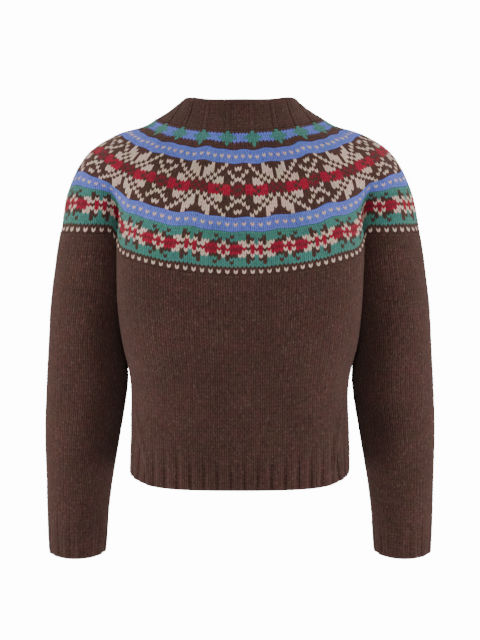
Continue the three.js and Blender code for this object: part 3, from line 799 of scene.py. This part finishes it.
def backdrop_paint():
    """Pale paint that glows behind the jumper, as a lit studio backdrop does."""
    material = bpy.data.materials.new("backdrop_paint")
    material.use_nodes = True
    nodes, links = material.node_tree.nodes, material.node_tree.links
    shader = nodes["Principled BSDF"]
    shader.inputs["Base Color"].default_value = (0.92, 0.92, 0.92, 1)
    shader.inputs["Roughness"].default_value = 0.9
    shader.inputs["Emission Color"].default_value = (1, 1, 1, 1)
    place = nodes.new("ShaderNodeTexCoord")
    split = nodes.new("ShaderNodeSeparateXYZ")
    links.new(place.outputs["Object"], split.inputs["Vector"])
    sideways = nodes.new("ShaderNodeMath")
    sideways.operation = "ABSOLUTE"
    links.new(split.outputs["X"], sideways.inputs[0])
    fades = ((split.outputs["Y"], 3.9, 4.6, 0, GLOW), (sideways.outputs["Value"], 1.3, 1.6, 1, 0),
             (split.outputs["Z"], 0.9, 1.4, 1, 0))
    glow = None
    for value, low, high, first, last in fades:
        fade = nodes.new("ShaderNodeMapRange")
        fade.interpolation_type = "SMOOTHSTEP"
        for key, number in (("From Min", low), ("From Max", high), ("To Min", first), ("To Max", last)):
            fade.inputs[key].default_value = number
        links.new(value, fade.inputs["Value"])
        if glow is None:
            glow = fade.outputs["Result"]
            continue
        both = nodes.new("ShaderNodeMath")
        both.operation = "MULTIPLY"
        links.new(glow, both.inputs[0])
        links.new(fade.outputs["Result"], both.inputs[1])
        glow = both.outputs["Value"]
    links.new(glow, shader.inputs["Emission Strength"])
    return material


class JumperSizes(bpy.types.PropertyGroup):
    wall: FloatProperty(name="Wall", description="Thickness of the knitted cloth", default=0.003, unit="LENGTH")
    neckband_wall: FloatProperty(
        name="Neckband", description="Thickness of the doubled neckband", default=0.005, unit="LENGTH"
    )
    stitch_relief: FloatProperty(
        name="Stitch relief", description="How far a stitch stands out", default=0.0011, unit="LENGTH"
    )
    rib_rise: FloatProperty(name="Rib rise", description="How far a rib stands out", default=0.0013, unit="LENGTH")
    rib_sink: FloatProperty(
        name="Rib sink", description="Depth of the furrows beside it", default=0.0018, unit="LENGTH"
    )
    unevenness: FloatProperty(
        name="Unevenness", description="Height of the cloth's long soft waves", default=0.0011, unit="LENGTH"
    )
    body_stitches: IntProperty(name="Body", description="Stitches across the back, and the front", default=75)
    sleeve_stitches: IntProperty(name="Sleeve", description="Stitches round a sleeve and its cuff", default=56)


class JumperYarns(bpy.types.PropertyGroup):
    brown: FloatVectorProperty(
        name="Brown", description="Heathered main yarn", subtype="COLOR", default=(0.0528, 0.0236, 0.0191)
    )
    cream: FloatVectorProperty(
        name="Cream", description="Yarn of the stars and dots", subtype="COLOR", default=(0.5284, 0.3998, 0.3284)
    )
    blue: FloatVectorProperty(
        name="Blue", description="Yarn of the narrow bands", subtype="COLOR", default=(0.0964, 0.1428, 0.5141)
    )
    green: FloatVectorProperty(
        name="Green", description="Yarn of the leaves and spikes", subtype="COLOR", default=(0.0443, 0.1714, 0.1464)
    )
    red: FloatVectorProperty(
        name="Red", description="Yarn of the flowers", subtype="COLOR", default=(0.2713, 0.0057, 0.0286)
    )
    wine: FloatVectorProperty(
        name="Wine", description="Darker yarn in the flowers", subtype="COLOR", default=(0.1499, 0.0086, 0.02)
    )


class JUMPER_OT_yoke(bpy.types.Operator):
    """Knit the round yoke with its patterned bands"""

    bl_idname = "jumper.yoke"
    bl_label = "Yoke"

    def execute(self, context):
        sizes, colours = context.scene.jumper_sizes, colours_of(context)
        bm = bmesh.new()

        def sheet(shares, rows):
            return yoke_sheet(shares, rows), np.zeros((len(rows), len(shares)), bool)

        first_count = BANDS[0][1] * PER_STITCH
        table = yoke_sheet(np.linspace(0, 1, first_count + 1), np.array([0.0, 0.5]))
        top = table[0] - facing(table, True)[0] * sizes.wall * 0.5
        above = top
        for number, (first, stitches, charts) in enumerate(BANDS):
            letters = chart_letters(charts, stitches)
            above = knit_band(bm, sheet, first, len(letters), stitches, letters, sizes, colours, wall=sizes.wall,
                              seed=11 + number, above=above)
        knit_lining(bm, above, top, sizes, colours)
        finish_piece(bm, "yoke_knit", wool_named("patterned_knit", 0.8), ["yoke"])
        return {"FINISHED"}


def knit_lining(bm, foot, top, sizes, colours):
    """The yoke's plain inside, from its lower edge up to the neck."""
    wide = len(foot)
    shares = np.linspace(0, 1, wide)
    y = np.linspace(YOKE_ROWS[-1, 0], 0, LINING_ROWS)
    table = yoke_sheet(shares, y)
    inside = table + facing(table, True) * sizes.wall
    points = np.concatenate([foot[None], inside, top[np.round(shares * (len(top) - 1)).astype(int)][None]])
    y = np.concatenate([y[:1], y, y[-1:]])
    letters = [None] * int(y[0])
    for first, stitches, charts in BANDS:
        for row, line in enumerate(chart_letters(charts, stitches)):
            letters[first + row] = [line[k * stitches // BANDS[-1][1]] for k in range(BANDS[-1][1])]
    lay_grid(bm, points, shares * BANDS[-1][1], y, np.ones(len(y), bool), np.zeros(points.shape[:2], bool),
             letters, colours)


class JUMPER_OT_neckband(bpy.types.Operator):
    """Knit the ribbed neckband"""

    bl_idname = "jumper.neckband"
    bl_label = "Neckband"

    def execute(self, context):
        sizes, colours = context.scene.jumper_sizes, colours_of(context)
        bm = bmesh.new()
        rows, stitches = NECKBAND_ROWS, BANDS[0][1]
        knit_band(
            bm, lambda s, r: (neckband_sheet(s, r, rows), np.zeros((len(r), len(s)), bool)), 0, rows, stitches,
            plain_letters(rows, stitches), sizes, colours, wall=sizes.neckband_wall, inner_rows=6,
            ribs=knit_ribs(7, (3, 4), sizes.rib_rise, sizes.rib_sink * 0.8, 0.5, False), grown=(0, 3),
            free=(True, False), seed=3,
        )
        finish_piece(bm, "neckband_knit", wool_named("ribbed_knit"), ["neckband"])
        return {"FINISHED"}


class JUMPER_OT_body(bpy.types.Operator):
    """Knit the back and the front"""

    bl_idname = "jumper.body"
    bl_label = "Back and front"

    def execute(self, context):
        sizes, colours = context.scene.jumper_sizes, colours_of(context)
        stitches = sizes.body_stitches
        panels = ((-1, "back_knit", "back_panel", BACK_ROWS), (1, "front_knit", "front_panel", FRONT_ROWS))
        for side, name, node, rows in panels:
            bm = bmesh.new()
            knit_band(
                bm, lambda s, r: panel_sheet(side, s, r, rows), 0, rows, stitches, plain_letters(rows, stitches),
                sizes, colours, closed=False, wall=sizes.wall, inner_rows=8, straight=(True, False), seed=20 + side,
                extra=side_fold,
            )
            finish_piece(bm, name, wool_named("plain_knit"), [node])
        return {"FINISHED"}


class JUMPER_OT_hem(bpy.types.Operator):
    """Knit the ribbed hem behind and in front"""

    bl_idname = "jumper.hem"
    bl_label = "Hem rib"

    def execute(self, context):
        sizes, colours = context.scene.jumper_sizes, colours_of(context)
        rows, stitches = RIB_ROWS, sizes.body_stitches
        for side, name, node in ((-1, "back_hem_knit", "back_hem_rib"), (1, "front_hem_knit", "front_hem_rib")):
            bm = bmesh.new()
            knit_band(
                bm, lambda s, r: hem_sheet(side, s, r, rows), 0, rows, stitches, plain_letters(rows, stitches),
                sizes, colours, closed=False, wall=sizes.wall, inner_rows=5,
                ribs=knit_ribs(3, (0, 2), sizes.rib_rise, sizes.rib_sink, 0.9, True), grown=(0, 0.9 * rows),
                straight=(False, True), free=(False, True), seed=30 + side, extra=side_fold,
            )
            finish_piece(bm, name, wool_named("ribbed_knit"), [node])
        return {"FINISHED"}


class JUMPER_OT_sleeves(bpy.types.Operator):
    """Knit the two sleeves"""

    bl_idname = "jumper.sleeves"
    bl_label = "Sleeves"

    def execute(self, context):
        sizes, colours = context.scene.jumper_sizes, colours_of(context)
        rows, stitches = SLEEVE_ROWS, sizes.sleeve_stitches
        for arm, name, node in ((1, "sleeve_knit_right", "sleeve_right"), (-1, "sleeve_knit_left", "sleeve_left")):
            bm = bmesh.new()
            knit_band(
                bm, lambda s, r: sleeve_sheet(s, r, rows), 0, rows, stitches, plain_letters(rows, stitches),
                sizes, colours, wall=sizes.wall, inner_rows=14, straight=(True, False), seed=40 + arm, arm=arm,
            )
            finish_piece(bm, name, wool_named("plain_knit"), [node])
        return {"FINISHED"}


class JUMPER_OT_cuffs(bpy.types.Operator):
    """Knit the two ribbed cuffs"""

    bl_idname = "jumper.cuffs"
    bl_label = "Cuffs"

    def execute(self, context):
        sizes, colours = context.scene.jumper_sizes, colours_of(context)
        rows, stitches = RIB_ROWS, sizes.sleeve_stitches
        for arm, name, node in ((1, "cuff_knit_right", "cuff_right"), (-1, "cuff_knit_left", "cuff_left")):
            bm = bmesh.new()
            knit_band(
                bm, lambda s, r: cuff_sheet(s, r, rows), 0, rows, stitches, plain_letters(rows, stitches),
                sizes, colours, wall=sizes.wall, inner_rows=5,
                ribs=knit_ribs(4, (0, 2), sizes.rib_rise * 0.6, sizes.rib_sink * 0.6, 1.1, True),
                grown=(0, 0.9 * rows), straight=(False, True), free=(False, True), seed=50 + arm, arm=arm,
            )
            finish_piece(bm, name, wool_named("ribbed_knit"), [node])
        return {"FINISHED"}


class JUMPER_OT_stage(bpy.types.Operator):
    """Set up the pale floor, the soft lights and the camera behind the jumper"""

    bl_idname = "jumper.stage"
    bl_label = "Stage"

    def execute(self, context):
        scene = context.scene
        bm = bmesh.new()
        bmesh.ops.create_grid(bm, x_segments=1, y_segments=1, size=FLOOR_HALF)
        bmesh.ops.translate(bm, verts=bm.verts[:], vec=FLOOR_PLACE)
        far, low = FLOOR_PLACE[1] + FLOOR_HALF - NEARLY, FLOOR_PLACE[2] + NEARLY
        back = [e for e in bm.edges if all(v.co.y > far for v in e.verts)]
        raised = [g for g in bmesh.ops.extrude_edge_only(bm, edges=back)["geom"] if isinstance(g, bmesh.types.BMVert)]
        bmesh.ops.translate(bm, verts=raised, vec=(0, 0, BACKDROP_HEIGHT))
        bend = [e for e in bm.edges if all(v.co.y > far and v.co.z < low for v in e.verts)]
        bmesh.ops.bevel(
            bm, geom=bend, offset=BACKDROP_BEND, segments=16, profile=0.5, affect="EDGES", material=-1
        )
        mesh = bpy.data.meshes.new("floor")
        bm.to_mesh(mesh)
        bm.free()
        mesh.shade_smooth()
        floor = bpy.data.objects.new("floor", mesh)
        scene.collection.objects.link(floor)
        mesh.materials.append(backdrop_paint())

        world = bpy.data.worlds.new("studio")
        world.use_nodes = True
        world.node_tree.nodes["Background"].inputs["Color"].default_value = (1, 1, 1, 1)
        world.node_tree.nodes["Background"].inputs["Strength"].default_value = WORLD_LIGHT
        scene.world = world

        for name, place, size, watts in LAMPS:
            light = bpy.data.lights.new(name, "AREA")
            light.shape = "RECTANGLE"
            light.size, light.size_y = size
            light.energy = watts
            lit = bpy.data.objects.new(name, light)
            lit.location = place
            lit.rotation_euler = (Vector(LAMP_AIM) - Vector(place)).to_track_quat("-Z", "Y").to_euler()
            scene.collection.objects.link(lit)

        eye = bpy.data.cameras.new("camera")
        eye.sensor_fit = "HORIZONTAL"
        eye.sensor_width = SENSOR_WIDTH
        eye.lens = FOCAL_PIXELS / PHOTO_WIDTH * SENSOR_WIDTH
        camera = bpy.data.objects.new("camera", eye)
        rise = np.radians(CAMERA_RISE)
        aim = Vector(CAMERA_AIM)
        camera.location = aim + CAMERA_DISTANCE * Vector((0, -np.cos(rise), np.sin(rise)))
        camera.rotation_euler = (aim - camera.location).to_track_quat("-Z", "Y").to_euler()
        scene.collection.objects.link(camera)
        scene.camera = camera
        return {"FINISHED"}


class JUMPER_PT_panel(bpy.types.Panel):
    """The jumper's sizes, yarns and pieces"""

    bl_idname = "JUMPER_PT_panel"
    bl_label = "Jumper"
    bl_space_type = "VIEW_3D"
    bl_region_type = "UI"
    bl_category = "Jumper"

    def draw(self, context):
        column = self.layout.column()
        for group in (context.scene.jumper_sizes, context.scene.jumper_yarns):
            for name in type(group).__annotations__:
                column.prop(group, name)
        for operator in OPERATORS:
            column.operator(operator.bl_idname)


OPERATORS = (
    JUMPER_OT_neckband,
    JUMPER_OT_yoke,
    JUMPER_OT_body,
    JUMPER_OT_hem,
    JUMPER_OT_sleeves,
    JUMPER_OT_cuffs,
    JUMPER_OT_stage,
)
CLASSES = (JumperSizes, JumperYarns, *OPERATORS, JUMPER_PT_panel)


def register():
    for cls in CLASSES:
        bpy.utils.register_class(cls)
    bpy.types.Scene.jumper_sizes = PointerProperty(type=JumperSizes)
    bpy.types.Scene.jumper_yarns = PointerProperty(type=JumperYarns)


def unregister():
    del bpy.types.Scene.jumper_yarns
    del bpy.types.Scene.jumper_sizes
    for cls in reversed(CLASSES):
        bpy.utils.unregister_class(cls)


def main():
    register()
    bpy.ops.jumper.neckband()
    bpy.ops.jumper.yoke()
    bpy.ops.jumper.body()
    bpy.ops.jumper.hem()
    bpy.ops.jumper.sleeves()
    bpy.ops.jumper.cuffs()
    bpy.ops.jumper.stage()
    bpy.context.view_layer.update()


if __name__ == "__main__":
    main()
